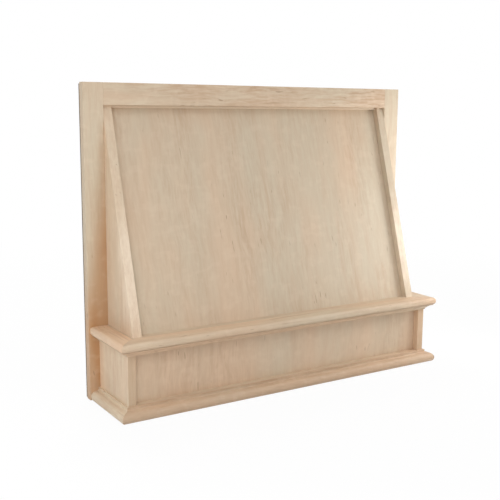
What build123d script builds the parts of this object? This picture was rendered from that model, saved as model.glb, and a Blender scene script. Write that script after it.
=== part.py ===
from build123d import *
import math
import os

# Slant-front range hood cover in raw maple. Millimetres, +Z up, front towards -Y.
# The origin is the middle of the footprint, on the level of the cover's foot.

# ---------------------------------------------------------------- driving sizes
overall_width = 914.4
overall_height = 725.5
box_depth = 158.75           # front of the face frame to the front of the box
mantel_top = 174.7           # height of the mantel's flat top
stock = 19.0                 # thickness of the solid boards
edge_ease = 0.8              # rounding of the sanded edges that show
small_ease = 0.5             # rounding of the small strips
fit_gap = 0.3                # clearance round the loose plywood panels
glue_line = 0.1              # clearance between glued faces that slant

# face frame
stile_width = 47.95
top_rail_height = 50.0
dowel_radius = 4.75
dowel_length = 50.0
dowel_margin = 14.0          # dowel axes to the rail's edges
dowel_play = 0.1             # radial room round a dowel

# rear layer behind the face frame
rear_thickness = 12.7
rear_inset = 3.2             # set in from the frame's outer edges

# canopy
cheek_thickness = 22.2
cheek_setback = 2.4          # foot of a cheek behind the mantel cap
cheek_head_setback = 9.0     # head of a cheek behind the front of the frame
panel_thickness = 6.35
panel_recess = 16.5          # panel behind the cheeks' front edges, at the foot
panel_head_room = 0.45       # head of the panel in front of the cover's back
stop_height = 5.5
stop_setback = 13.0          # stop strip behind the front of the frame
cleat_size = 19.0            # section of the square cleats
foot_cleat_width = 20.0
cleat_end_room = 6.0         # cleat ends to the hanging rail above

# mantel, box and base
box_setin = 25.45            # box sides in from the frame's outer edges
cap_thickness = 19.0
cap_nose_radius = 7.5
cap_reach = 22.3             # mantel cap stands out from the box
bed_height = 13.5
bed_reach = 18.0
bed_foot_reach = 2.5
bed_foot_height = 2.0        # upright edge under the cove
bed_lip = 1.2                # small edge between the cove and the cap
bed_cove_sag = 1.2           # hollow of the cove across its chord
base_height = 29.5
base_reach = 24.0            # base moulding stands out from the box
base_ledge = 5.0             # flat top of the base moulding
base_step = 5.5              # upright step under that flat
base_cove_sag = 0.6
base_groove_reach = 10.5     # groove between the cove and the nose
base_nose_radius = 12.7
base_nose_level = 8.8        # height of the nose's furthest point
box_rail_thickness = 16.0
box_panel_margin = 3.0       # box panel short of the foot and of the shelf

# mantel shelf
shelf_front_width = 45.0
shelf_side_width = 79.0

# hanging rails
hanging_rail_height = 76.0
hanging_rail_room = 2.0      # upper rail's front edge to the back of the panel
hanging_hole_spacing = 406.4
hanging_hole_radius = 2.5
hanging_sink_radius = 4.75

# ledges for the ventilator liner
ledge_width = 38.0
ledge_level = 12.7           # underside of the ledges above the foot
liner_hole_radius = 2.25
liner_hole_spacing = 100.0
liner_hole_setback = 25.0    # rear liner hole in front of the face frame

# screws
screw_head_radius = 4.1
screw_shank_radius = 2.1
screw_point = 5.0
screw_play = 0.12            # room round a screw in its hole
drive_size = 2.6
drive_depth = 2.0
short_screw = 28.0
medium_screw = 44.0
ledge_screw = 52.0
long_screw = 60.0

# screw places, from the nearest edge or face unless a note says otherwise
upright_screw_margin = 12.0
upright_screw_end = 60.0
upright_screw_count = 4
box_side_screw_end = 50.0
box_side_screw_rise = 65.0
cheek_screw_end = 48.0       # beyond the edges of the hanging rails
cheek_screw_count = 3
rail_screw_offset = 22.0     # above and below a hanging rail's middle
foot_screw_setback = 35.0    # behind the cheek's front foot
foot_screw_pitch = 70.0
shelf_screw_setback = 80.0   # behind the front of the box
shelf_screw_pitch = 65.0
front_shelf_screw_pitch = 260.0
side_cleat_screw_setback = 45.0   # behind the front of the box
side_cleat_screw_pitch = 50.0
corner_cleat_screw_end = 28.0
panel_cleat_screw_end = 40.0
panel_cleat_screw_count = 3
ledge_screw_setback = 50.0   # behind the front of the box
ledge_screw_pitch = 35.0
front_ledge_screw_pitch = 280.0

# ---------------------------------------------------------------- levels and planes
total_depth = rear_thickness + stock + box_depth + max(cap_reach, base_reach)
rear_y = total_depth / 2
frame_back_y = rear_y - rear_thickness
frame_front_y = frame_back_y - stock
box_front_y = frame_front_y - box_depth
box_rail_back_y = box_front_y + box_rail_thickness
box_panel_back_y = box_rail_back_y + panel_thickness
shelf_front_y = box_front_y + stock
cheek_foot_y = shelf_front_y + cheek_setback
cheek_head_y = frame_front_y + cheek_head_setback
hanging_front_y = rear_y - stock
rear_middle_y = rear_y - rear_thickness / 2

half_width = overall_width / 2
stile_inner_x = half_width - stile_width
box_outer_x = half_width - box_setin
box_inner_x = box_outer_x - stock
cheek_outer_x = stile_inner_x
cheek_inner_x = cheek_outer_x - cheek_thickness
rear_outer_x = half_width - rear_inset
cleat_inner_x = box_inner_x - cleat_size
ledge_inner_x = box_inner_x - ledge_width

rear_top = overall_height - rear_inset
rail_bottom = overall_height - top_rail_height
shelf_bottom = mantel_top - cap_thickness
shelf_cleat_bottom = shelf_bottom - cleat_size
ledge_top = ledge_level + stock
foot_cleat_top = mantel_top + cleat_size

# The canopy panel leans from its foot on the shelf to the back of the rear layer.
panel_foot_y = cheek_foot_y + panel_recess
panel_head_y = rear_y - panel_head_room - panel_thickness
panel_lean = (panel_head_y - panel_foot_y) / (rail_bottom - mantel_top)
slope_factor = math.sqrt(1 + panel_lean ** 2)


def panel_front(level):
    """Y of the canopy panel's face at a height."""
    return panel_foot_y + (level - mantel_top) * panel_lean


def panel_rear(level):
    """Y of the canopy panel's back at a height."""
    return panel_front(level) + panel_thickness * slope_factor


# The lower hanging rail stands on the level of the mantel, and the upper one is as high
# as the leaning panel in front of it leaves room.
lower_rail_top = mantel_top + hanging_rail_height
lower_hole_level = lower_rail_top - hanging_rail_height / 2
panel_to_rail = hanging_front_y - hanging_rail_room - panel_rear(mantel_top)
upper_rail_top = mantel_top + panel_to_rail / panel_lean
upper_rail_bottom = upper_rail_top - hanging_rail_height
upper_hole_level = upper_rail_top - hanging_rail_height / 2
panel_cleat_top = upper_rail_bottom - cleat_end_room


os.makedirs("parts", exist_ok=True)


def save(piece, name):
    """Label a finished piece and write its file."""
    piece.label = name
    export_step(piece, "parts/" + name + ".step")


def twin(piece):
    """The left-hand twin of a right-hand piece."""
    with BuildPart() as other:
        mirror(piece, about=Plane.YZ)
    return other.part


def board(x_range, y_range, z_range):
    """Add a plain board to the part being built, from its limits along X, Y and Z."""
    limits = (x_range, y_range, z_range)
    middle = tuple((low + high) / 2 for low, high in limits)
    size = tuple(high - low for low, high in limits)
    with Locations(middle):
        Box(*size)


def strip(x_range, corners):
    """Add a strip along X to the part being built, from its section's Y and Z corners."""
    start, end = x_range
    with BuildSketch(Plane.YZ.offset(start)) as section:
        with BuildLine():
            Polyline(*corners, close=True)
        make_face()
    extrude(section.sketch, amount=end - start)


# ---------------------------------------------------------------- screws and their holes
def screw_shape(length, play):
    """A countersunk screw along -Z with its head level with Z = 0, grown by a play."""
    head = screw_head_radius + play
    shank = screw_shank_radius + play
    with BuildPart() as screw:
        with BuildSketch(Plane.XZ):
            with BuildLine():
                Polyline(
                    (0, 0),
                    (head, 0),
                    (shank, shank - head),
                    (shank, screw_point - length),
                    (0, -length - play),
                    close=True,
                )
            make_face()
        revolve(axis=Axis.Z)
    return screw.part


def screw_with_drive(length):
    """A screw with a square recess in its head."""
    with BuildPart() as screw:
        add(screw_shape(length, 0))
        Box(
            drive_size,
            drive_size,
            drive_depth,
            align=(Align.CENTER, Align.CENTER, Align.MAX),
            mode=Mode.SUBTRACT,
        )
    return screw.part


screw_lengths = {short_screw, medium_screw, ledge_screw, long_screw}
screws = {length: screw_with_drive(length) for length in screw_lengths}
screw_holes = {length: screw_shape(length, screw_play) for length in screw_lengths}


def drill(spots, length):
    """Cut the holes for one row of screws out of the part being built."""
    with Locations(*spots):
        add(screw_holes[length], mode=Mode.SUBTRACT)


def drive_in(spots, length):
    """Add one row of screws to the part being built."""
    with Locations(*spots):
        add(screws[length])


def spot(x, y, z, outward):
    """Place of a screw head at a point, with the direction that the head faces."""
    return Plane(origin=(x, y, z), z_dir=outward).location


def twin_spots(spots):
    """The left-hand twins of some screw places."""
    twins = []
    for place in spots:
        point = place.position
        out = place.z_axis.direction
        twins.append(spot(-point.X, point.Y, point.Z, (-out.X, out.Y, out.Z)))
    return twins


def spread(first, last, count):
    """Evenly spaced values from a first to a last one."""
    return [first + (last - first) * step / (count - 1) for step in range(count)]


facing_back = (0, 1, 0)
facing_in = (-1, 0, 0)
facing_out = (1, 0, 0)
facing_down = (0, 0, -1)

# Right-hand places, except for the two rows along the front, which lie on both sides.
upright_spots = [
    spot(half_width - upright_screw_margin, rear_y, level, facing_back)
    for level in spread(
        upright_screw_end, rail_bottom - upright_screw_end, upright_screw_count
    )
]
box_side_spots = [
    spot((box_inner_x + box_outer_x) / 2, rear_y, level, facing_back)
    for level in (box_side_screw_end, box_side_screw_end + box_side_screw_rise)
]
cheek_spots = [
    spot(cheek_inner_x, rear_middle_y, level, facing_in)
    for level in spread(
        lower_rail_top + cheek_screw_end,
        upper_rail_bottom - cheek_screw_end,
        cheek_screw_count,
    )
]
lower_rail_spots = [
    spot(cheek_outer_x, rear_middle_y, lower_hole_level + offset, facing_out)
    for offset in (-rail_screw_offset, rail_screw_offset)
]
upper_rail_spots = [
    spot(cheek_outer_x, rear_middle_y, upper_hole_level + offset, facing_out)
    for offset in (-rail_screw_offset, rail_screw_offset)
]
cheek_foot_spots = [
    spot((cheek_inner_x + cheek_outer_x) / 2, cheek_foot_y + setback, shelf_bottom, facing_down)
    for setback in (foot_screw_setback, foot_screw_setback + foot_screw_pitch)
]
side_shelf_spots = [
    spot(box_inner_x - cleat_size / 2, box_front_y + setback, shelf_cleat_bottom, facing_down)
    for setback in (shelf_screw_setback, shelf_screw_setback + shelf_screw_pitch)
]
front_shelf_spots = [
    spot(
        step * front_shelf_screw_pitch,
        box_panel_back_y + cleat_size / 2,
        shelf_cleat_bottom,
        facing_down,
    )
    for step in (-1, 0, 1)
]
side_cleat_spots = [
    spot(cleat_inner_x, box_front_y + setback, shelf_bottom - cleat_size / 2, facing_in)
    for setback in (
        side_cleat_screw_setback, side_cleat_screw_setback + side_cleat_screw_pitch
    )
]
corner_cleat_spots = [
    spot(cleat_inner_x, box_panel_back_y + cleat_size / 2, level, facing_in)
    for level in (
        ledge_top + corner_cleat_screw_end, shelf_cleat_bottom - corner_cleat_screw_end
    )
]
panel_cleat_spots = [
    spot(
        cheek_inner_x - cleat_size,
        panel_rear(level) + glue_line + cleat_size * slope_factor / 2,
        level,
        facing_in,
    )
    for level in spread(
        foot_cleat_top + panel_cleat_screw_end,
        panel_cleat_top - panel_cleat_screw_end,
        panel_cleat_screw_count,
    )
]
side_ledge_spots = [
    spot(
        ledge_inner_x,
        box_front_y + ledge_screw_setback + step * ledge_screw_pitch,
        ledge_level + stock / 2,
        facing_in,
    )
    for step in range(3)
]
front_ledge_spots = [
    spot(
        step * front_ledge_screw_pitch,
        box_panel_back_y + ledge_width,
        ledge_level + stock / 2,
        facing_back,
    )
    for step in (-1, 0, 1)
]

# ---------------------------------------------------------------- face frame
dowel_spots = {
    side: [
        Plane(
            origin=(side * stile_inner_x, (frame_front_y + frame_back_y) / 2, level),
            z_dir=facing_out,
        ).location
        for level in (rail_bottom + dowel_margin, overall_height - dowel_margin)
    ]
    for side in (-1, 1)
}


def dowel_holes(side):
    """Cut the dowel holes of one corner joint out of the part being built."""
    with Locations(*dowel_spots[side]):
        Cylinder(dowel_radius + dowel_play, dowel_length + 2 * fit_gap, mode=Mode.SUBTRACT)


with BuildPart() as right_stile:
    board((stile_inner_x, half_width), (frame_front_y, frame_back_y), (0, overall_height))
    fillet(right_stile.edges().filter_by(Axis.Z).group_by(Axis.Y)[0], radius=edge_ease)
    dowel_holes(1)
    drill(upright_spots, short_screw)
    drill(box_side_spots, long_screw)
save(right_stile.part, "right_stile")
save(twin(right_stile.part), "left_stile")

with BuildPart() as top_rail:
    board(
        (-stile_inner_x, stile_inner_x),
        (frame_front_y, frame_back_y),
        (rail_bottom, overall_height),
    )
    fillet(top_rail.edges().filter_by(Axis.X).group_by(Axis.Y)[0], radius=small_ease)
    dowel_holes(-1)
    dowel_holes(1)
save(top_rail.part, "top_rail")

with BuildPart() as frame_dowels:
    with Locations(*dowel_spots[-1], *dowel_spots[1]):
        Cylinder(dowel_radius, dowel_length)
save(frame_dowels.part, "frame_dowels")

# ---------------------------------------------------------------- rear layer
with BuildPart() as right_rear_upright:
    board((cheek_outer_x, rear_outer_x), (frame_back_y, rear_y), (0, rear_top))
    drill(upright_spots, short_screw)
    drill(box_side_spots, long_screw)
    drill(cheek_spots, medium_screw)
save(right_rear_upright.part, "right_rear_upright")
save(twin(right_rear_upright.part), "left_rear_upright")

with BuildPart() as rear_top_rail:
    board((-cheek_outer_x, cheek_outer_x), (frame_back_y, rear_y), (rail_bottom, rear_top))
save(rear_top_rail.part, "rear_top_rail")


# ---------------------------------------------------------------- hanging rails
def hanging_rail(hole_level, screw_spots):
    """A rail between the cheeks, with two countersunk holes for wall screws."""
    half_height = hanging_rail_height / 2
    wall_holes = [
        spot(side * hanging_hole_spacing / 2, hanging_front_y, hole_level, (0, -1, 0))
        for side in (-1, 1)
    ]
    with BuildPart() as rail:
        board(
            (-cheek_inner_x, cheek_inner_x),
            (hanging_front_y, rear_y),
            (hole_level - half_height, hole_level + half_height),
        )
        with Locations(*wall_holes):
            CounterSinkHole(hanging_hole_radius, hanging_sink_radius, depth=stock)
        drill(screw_spots + twin_spots(screw_spots), medium_screw)
    return rail.part


save(hanging_rail(lower_hole_level, lower_rail_spots), "lower_hanging_rail")
save(hanging_rail(upper_hole_level, upper_rail_spots), "upper_hanging_rail")

# ---------------------------------------------------------------- canopy
with BuildPart() as right_cheek:
    strip(
        (cheek_inner_x, cheek_outer_x),
        [
            (cheek_foot_y, mantel_top),
            (cheek_head_y, rail_bottom),
            (rear_y, rail_bottom),
            (rear_y, mantel_top),
        ],
    )
    slanted_edge = right_cheek.faces().sort_by(Axis.Y)[0]
    fillet(slanted_edge.edges().filter_by(Axis.X, reverse=True), radius=edge_ease)
    drill(cheek_spots, medium_screw)
    drill(lower_rail_spots + upper_rail_spots, medium_screw)
    drill(cheek_foot_spots, medium_screw)
    drill(panel_cleat_spots, short_screw)
save(right_cheek.part, "right_cheek")
save(twin(right_cheek.part), "left_cheek")

panel_top = rail_bottom - fit_gap
with BuildPart() as canopy_panel:
    strip(
        (-cheek_inner_x + fit_gap, cheek_inner_x - fit_gap),
        [
            (panel_front(mantel_top), mantel_top),
            (panel_front(panel_top), panel_top),
            (panel_rear(panel_top), panel_top),
            (panel_rear(mantel_top), mantel_top),
        ],
    )
save(canopy_panel.part, "canopy_panel")

stop_front_y = frame_front_y + stop_setback
stop_bottom = rail_bottom - stop_height
with BuildPart() as top_stop:
    strip(
        (-cheek_inner_x, cheek_inner_x),
        [
            (stop_front_y, stop_bottom),
            (stop_front_y, rail_bottom),
            (panel_front(rail_bottom) - fit_gap, rail_bottom),
            (panel_front(stop_bottom) - fit_gap, stop_bottom),
        ],
    )
    lower_edges = top_stop.edges().filter_by(Axis.X).group_by(Axis.Z)[0]
    fillet(lower_edges.sort_by(Axis.Y)[0], radius=small_ease)
save(top_stop.part, "top_stop")

foot_cleat_back_y = panel_rear(mantel_top) + foot_cleat_width
with BuildPart() as panel_foot_cleat:
    strip(
        (-cheek_inner_x, cheek_inner_x),
        [
            (panel_rear(mantel_top) + glue_line, mantel_top),
            (panel_rear(foot_cleat_top) + glue_line, foot_cleat_top),
            (foot_cleat_back_y, foot_cleat_top),
            (foot_cleat_back_y, mantel_top),
        ],
    )
save(panel_foot_cleat.part, "panel_foot_cleat")

cleat_run = cleat_size * slope_factor
with BuildPart() as right_panel_cleat:
    strip(
        (cheek_inner_x - cleat_size, cheek_inner_x),
        [
            (panel_rear(foot_cleat_top) + glue_line, foot_cleat_top),
            (panel_rear(panel_cleat_top) + glue_line, panel_cleat_top),
            (panel_rear(panel_cleat_top) + glue_line + cleat_run, panel_cleat_top),
            (panel_rear(foot_cleat_top) + glue_line + cleat_run, foot_cleat_top),
        ],
    )
    drill(panel_cleat_spots, short_screw)
save(right_panel_cleat.part, "right_panel_cleat")
save(twin(right_panel_cleat.part), "left_panel_cleat")

# ---------------------------------------------------------------- mantel shelf
shelf_front_back_y = shelf_front_y + shelf_front_width
with BuildPart() as shelf_front:
    board(
        (-box_inner_x, box_inner_x),
        (shelf_front_y, shelf_front_back_y),
        (shelf_bottom, mantel_top),
    )
    drill(front_shelf_spots, short_screw)
    drill(cheek_foot_spots + twin_spots(cheek_foot_spots), medium_screw)
save(shelf_front.part, "shelf_front")

shelf_right_inner_x = box_inner_x - shelf_side_width
with BuildPart() as shelf_right:
    with BuildSketch(Plane.XY.offset(shelf_bottom)):
        with BuildLine():
            Polyline(
                (shelf_right_inner_x, shelf_front_back_y),
                (box_inner_x, shelf_front_back_y),
                (box_inner_x, frame_front_y),
                (stile_inner_x, frame_front_y),
                (stile_inner_x, frame_back_y),
                (shelf_right_inner_x, frame_back_y),
                close=True,
            )
        make_face()
    extrude(amount=cap_thickness)
    drill(side_shelf_spots, short_screw)
    drill(cheek_foot_spots, medium_screw)
save(shelf_right.part, "shelf_right")
save(twin(shelf_right.part), "shelf_left")

with BuildPart() as shelf_cleat_right:
    board(
        (cleat_inner_x, box_inner_x),
        (box_panel_back_y, frame_front_y),
        (shelf_cleat_bottom, shelf_bottom),
    )
    drill(side_shelf_spots, short_screw)
    drill(side_cleat_spots, short_screw)
save(shelf_cleat_right.part, "shelf_cleat_right")
save(twin(shelf_cleat_right.part), "shelf_cleat_left")

with BuildPart() as shelf_cleat_front:
    board(
        (-cleat_inner_x, cleat_inner_x),
        (box_panel_back_y, box_panel_back_y + cleat_size),
        (shelf_cleat_bottom, shelf_bottom),
    )
    drill(front_shelf_spots, short_screw)
save(shelf_cleat_front.part, "shelf_cleat_front")

# ---------------------------------------------------------------- box
with BuildPart() as right_box_side:
    board((box_inner_x, box_outer_x), (box_front_y, frame_front_y), (0, shelf_bottom))
    fillet(right_box_side.edges().filter_by(Axis.Z).group_by(Axis.Y)[0], radius=edge_ease)
    drill(box_side_spots, long_screw)
    drill(side_cleat_spots, short_screw)
    drill(corner_cleat_spots, short_screw)
    drill(side_ledge_spots, ledge_screw)
save(right_box_side.part, "right_box_side")
save(twin(right_box_side.part), "left_box_side")

with BuildPart() as box_top_rail:
    board(
        (-box_inner_x, box_inner_x),
        (box_front_y, box_rail_back_y),
        (shelf_bottom - bed_height, shelf_bottom),
    )
save(box_top_rail.part, "box_top_rail")

with BuildPart() as box_bottom_rail:
    board((-box_inner_x, box_inner_x), (box_front_y, box_rail_back_y), (0, base_height))
    drill(front_ledge_spots, ledge_screw)
save(box_bottom_rail.part, "box_bottom_rail")

with BuildPart() as box_panel:
    board(
        (-box_inner_x + fit_gap, box_inner_x - fit_gap),
        (box_rail_back_y, box_panel_back_y),
        (box_panel_margin, shelf_bottom - box_panel_margin),
    )
    drill(front_ledge_spots, ledge_screw)
save(box_panel.part, "box_panel")

with BuildPart() as right_corner_cleat:
    board(
        (cleat_inner_x, box_inner_x),
        (box_panel_back_y, box_panel_back_y + cleat_size),
        (ledge_top, shelf_cleat_bottom),
    )
    drill(corner_cleat_spots, short_screw)
save(right_corner_cleat.part, "right_corner_cleat")
save(twin(right_corner_cleat.part), "left_corner_cleat")

# ---------------------------------------------------------------- liner ledges
liner_hole_x = (ledge_inner_x + box_inner_x) / 2
rear_liner_hole_y = frame_front_y - liner_hole_setback
with BuildPart() as right_liner_ledge:
    board(
        (ledge_inner_x, box_inner_x),
        (box_panel_back_y, frame_front_y),
        (ledge_level, ledge_top),
    )
    with Locations(
        (liner_hole_x, rear_liner_hole_y, ledge_top),
        (liner_hole_x, rear_liner_hole_y - liner_hole_spacing, ledge_top),
    ):
        Hole(liner_hole_radius, depth=stock)
    drill(side_ledge_spots, ledge_screw)
save(right_liner_ledge.part, "right_liner_ledge")
save(twin(right_liner_ledge.part), "left_liner_ledge")

with BuildPart() as front_liner_ledge:
    board(
        (-ledge_inner_x, ledge_inner_x),
        (box_panel_back_y, box_panel_back_y + ledge_width),
        (ledge_level, ledge_top),
    )
    drill(front_ledge_spots, ledge_screw)
save(front_liner_ledge.part, "front_liner_ledge")


# ---------------------------------------------------------------- mouldings
# In a profile, X is the reach out of the box face and Y the height above its underside.
def cap_profile():
    """Mantel cap: a flat board with a rounded nose, reaching back over the box side."""
    with BuildSketch() as profile:
        with Locations((cap_reach, 0)):
            Rectangle(cap_reach + stock, cap_thickness, align=(Align.MAX, Align.MIN))
        fillet(profile.vertices().group_by(Axis.X)[-1], radius=cap_nose_radius)
    return profile.sketch


def bed_profile():
    """Bed mould: a cove between a small lip and an upright foot."""
    lip_level = bed_height - bed_lip
    cove_top = (bed_reach - bed_lip, lip_level)
    cove_foot = (bed_foot_reach, bed_foot_height)
    with BuildSketch() as profile:
        with BuildLine():
            Polyline(
                cove_foot,
                (bed_foot_reach, 0),
                (0, 0),
                (0, bed_height),
                (bed_reach, bed_height),
                (bed_reach, lip_level),
                cove_top,
            )
            SagittaArc(cove_top, cove_foot, -bed_cove_sag)
        make_face()
    return profile.sketch


def base_profile():
    """Base moulding: flat top, cove, groove and a large round nose at the foot."""
    nose_centre = base_reach - base_nose_radius
    groove_rise = math.sqrt(base_nose_radius ** 2 - (base_groove_reach - nose_centre) ** 2)
    foot_reach = nose_centre + math.sqrt(base_nose_radius ** 2 - base_nose_level ** 2)
    shoulder = (base_ledge, base_height - base_step)
    groove = (base_groove_reach, base_nose_level + groove_rise)
    with BuildSketch() as profile:
        with BuildLine():
            Polyline((foot_reach, 0), (0, 0), (0, base_height), (base_ledge, base_height), shoulder)
            SagittaArc(shoulder, groove, -base_cove_sag)
            ThreePointArc(groove, (base_reach, base_nose_level), (foot_reach, 0))
        make_face()
    return profile.sketch


def front_moulding(profile, level, inner, outer):
    """Front length of a moulding, mitred at both ends between two reaches."""
    end_x = box_outer_x + outer
    section = Plane(origin=(-end_x, box_front_y, level), x_dir=(0, -1, 0), z_dir=(-1, 0, 0))
    with BuildPart() as piece:
        with BuildSketch(section):
            add(profile)
        extrude(amount=-2 * end_x)
        with BuildSketch(Plane.XY.offset(level)):
            with BuildLine():
                Polyline(
                    (-end_x, box_front_y - outer),
                    (end_x, box_front_y - outer),
                    (box_outer_x + inner, box_front_y - inner),
                    (-box_outer_x - inner, box_front_y - inner),
                    close=True,
                )
            make_face()
        extrude(amount=overall_height, mode=Mode.INTERSECT)
    return piece.part


def side_moulding(profile, level, inner, outer):
    """Right-hand return of a moulding, from the face frame to its mitre."""
    end_x = box_outer_x + outer
    section = Plane(
        origin=(box_outer_x, frame_front_y, level), x_dir=(1, 0, 0), z_dir=(0, -1, 0)
    )
    with BuildPart() as piece:
        with BuildSketch(section):
            add(profile)
        extrude(amount=box_depth + outer)
        with BuildSketch(Plane.XY.offset(level)):
            with BuildLine():
                Polyline(
                    (box_outer_x + inner, frame_front_y),
                    (end_x, frame_front_y),
                    (end_x, box_front_y - outer),
                    (box_outer_x + inner, box_front_y - inner),
                    close=True,
                )
            make_face()
        extrude(amount=overall_height, mode=Mode.INTERSECT)
    return piece.part


mouldings = [
    ("mantel_cap", cap_profile(), shelf_bottom, -stock, cap_reach),
    ("bed_mould", bed_profile(), shelf_bottom - bed_height, 0, bed_reach),
    ("base_mould", base_profile(), 0, 0, base_reach),
]
for name, profile, level, inner, outer in mouldings:
    save(front_moulding(profile, level, inner, outer), name + "_front")
    right_return = side_moulding(profile, level, inner, outer)
    save(right_return, name + "_right")
    save(twin(right_return), name + "_left")

# ---------------------------------------------------------------- screw groups
side_screw_rows = {
    "upright_screws": [(upright_spots, short_screw)],
    "box_side_screws": [(box_side_spots, long_screw)],
    "cheek_screws": [(cheek_spots, medium_screw)],
    "hanging_rail_screws": [(lower_rail_spots + upper_rail_spots, medium_screw)],
    "cheek_foot_screws": [(cheek_foot_spots, medium_screw)],
    "shelf_screws": [(side_shelf_spots, short_screw)],
    "cleat_screws": [(side_cleat_spots + corner_cleat_spots + panel_cleat_spots, short_screw)],
    "ledge_screws": [(side_ledge_spots, ledge_screw)],
}
front_screw_rows = {
    "shelf_screws": [(front_shelf_spots, short_screw)],
    "ledge_screws": [(front_ledge_spots, ledge_screw)],
}
for name, rows in side_screw_rows.items():
    with BuildPart() as screw_group:
        for spots, length in rows:
            drive_in(spots + twin_spots(spots), length)
        for spots, length in front_screw_rows.get(name, []):
            drive_in(spots, length)
    save(screw_group.part, name)
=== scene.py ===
"""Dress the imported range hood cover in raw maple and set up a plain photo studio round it.

The file is laid out as an add-on and run as a script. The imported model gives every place
and size; lengths are metres, +Z up, with the front of the cover towards -Y.
"""

import math

import bpy
import numpy as np
from mathutils import Matrix, Vector


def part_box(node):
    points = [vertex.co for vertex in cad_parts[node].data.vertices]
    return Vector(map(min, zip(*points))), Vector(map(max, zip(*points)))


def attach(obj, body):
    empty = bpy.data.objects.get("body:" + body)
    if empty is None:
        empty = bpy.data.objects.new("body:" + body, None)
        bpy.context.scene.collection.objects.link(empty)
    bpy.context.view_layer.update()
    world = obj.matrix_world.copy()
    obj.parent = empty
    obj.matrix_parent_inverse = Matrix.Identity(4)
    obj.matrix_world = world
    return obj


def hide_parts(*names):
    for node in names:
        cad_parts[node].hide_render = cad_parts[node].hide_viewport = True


bl_info = {
    "name": "Range hood cover in raw maple",
    "version": (1, 0, 0),
    "blender": (4, 5, 0),
    "location": "3D View > Sidebar > Hood Cover",
    "description": "Shapes mouldings and boards, gives wood to every piece, and lights them",
    "category": "Object",
}

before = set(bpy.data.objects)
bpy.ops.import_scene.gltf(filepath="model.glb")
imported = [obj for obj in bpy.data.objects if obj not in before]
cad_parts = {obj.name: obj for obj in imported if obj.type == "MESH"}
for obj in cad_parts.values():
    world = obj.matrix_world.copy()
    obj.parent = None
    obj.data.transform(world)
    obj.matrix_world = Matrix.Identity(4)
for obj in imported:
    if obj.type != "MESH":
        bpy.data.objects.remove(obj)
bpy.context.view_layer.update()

ACROSS = Vector((1, 0, 0))
BACKWARD = Vector((0, 1, 0))
UPWARD = Vector((0, 0, 1))

# Pinkness, lightness and amber share of each maple piece; some of the lightness and pinkness is
# painted light, as noted below.
TONES = {
    # The left stile's amber share is amber wood and painted shade cast by the left cheek.
    "left_stile": (-0.12, 1.07, 1.0),
    # The right stile is paler and less pink as a painted highlight of the right lamp.
    "right_stile": (-0.5, 1.12, 0.0),
    "top_rail": (0.0, 1.06, 0.0),
    "top_stop": (0.0, 1.0, 0.0),
    "canopy_panel": (-0.08, 0.98, 0.0),
    # The left cheek is lighter as painted light from the left; the right cheek is less pink as a
    # painted highlight.
    "left_cheek": (0.0, 1.07, 0.0),
    "right_cheek": (-0.3, 0.98, 0.0),
    # Each moulding's left return is lighter than its right one: painted light from the left.
    "mantel_cap_front": (0.0, 1.05, 0.1),
    "mantel_cap_left": (0.0, 1.22, 0.13),
    "mantel_cap_right": (0.0, 1.02, 0.0),
    "bed_mould_front": (0.0, 1.06, 0.05),
    "bed_mould_left": (0.0, 1.06, 0.1),
    "bed_mould_right": (0.0, 1.0, 0.0),
    "base_mould_front": (0.15, 0.95, 0.17),
    "base_mould_left": (-0.25, 1.26, 0.0),
    "base_mould_right": (-0.1, 1.0, 0.05),
    # The box sides are lighter than the box front: painted light of the lit left side.
    "left_box_side": (0.04, 1.19, 0.0),
    "right_box_side": (0.04, 1.19, 0.0),
    "box_top_rail": (0.05, 0.97, 0.0),
    "box_bottom_rail": (0.05, 0.97, 0.0),
    "box_panel": (0.04, 1.03, 0.0),
    "left_rear_upright": (0.0, 0.95, 0.0),
    "right_rear_upright": (0.0, 0.95, 0.0),
    "rear_top_rail": (0.0, 0.95, 0.0),
    "shelf_front": (0.0, 0.94, 0.0),
    "shelf_left": (0.0, 0.94, 0.0),
    "shelf_right": (0.0, 0.94, 0.0),
}

# Cycles per metre across and along the fibres, detail and roughness of each figure.
FIGURES = {
    "waves": (9, 7, 2, 0.5),
    "patches": (8.0, 2.2, 3, 0.5),
    "bands": (42, 5, 2, 0.5),
    "sheet": (3.4, 0.5, 2, 0.5),
    "sheet_ripple": (48, 6, 2, 0.5),
    "ring_ripple": (45, 4, 2, 0.5),
    "ring_strength": (13, 2.4, 1, 0.5),
    "fibres": (260, 34, 3, 0.6),
    "streaks": (95, 11, 2, 0.55),
    "quilt": (38, 55, 1, 0.5),
    "crowds": (9, 3, 1, 0.5),
    "flecks": (190, 30, 1, 0.5),
    "marks": (110, 5.5, 2, 0.5),
    "sapwood_blur": (40, 6, 2, 0.5),
    "pores": (900, 900, 1, 0.5),
    "plain_patches": (10, 1.4, 2, 0.5),
    "plain_fibres": (260, 8, 3, 0.6),
    "plain_streaks": (60, 3, 2, 0.5),
}

# Levels of a figure's noise between which it grows from nothing to its full share.
LEVELS = {
    "patches": (0.26, 0.74),
    "bands": (0.46, 0.7),
    "ring_strength": (0.35, 0.75),
    "quilt": (0.5, 0.72),
    "marks": (0.64, 0.76),
    "plain_patches": (0.3, 0.7),
    "plain_streaks": (0.42, 0.68),
}

# Share and lightness of the core wood on the narrow faces of two kinds of board; on the rear
# uprights the dark rim is darker core plies and painted shade.
BOX_SIDE_RIM = (0.5, 1.0)
REAR_UPRIGHT_RIM_AND_SHADE = (0.95, 0.3)

ROUNDING_POINTS = 5       # round one corner of a board, and along its arris at each end
ARC_POINTS = 13           # along a rounded corner or cove of a moulding
NOSE_POINTS = 25          # along the base moulding's nose
RUN_POINTS = 25           # along a moulding
BOARD_STEP = 0.04         # longest face along a board
SHARP_ANGLE = math.radians(40)
SCREW_GROUPS = 8
DOWEL_SEED = 3

FLOOR_DROP = 0.0005       # under the cover's foot
FLOOR_REACH = 9.0
FLOOR_RINGS = 30
SHADOW_REACH = (0.6, 2.4)   # where the floor's share of shadow starts and stops fading
LAMP_AIM = (0, -0.02, 0.36)

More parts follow.
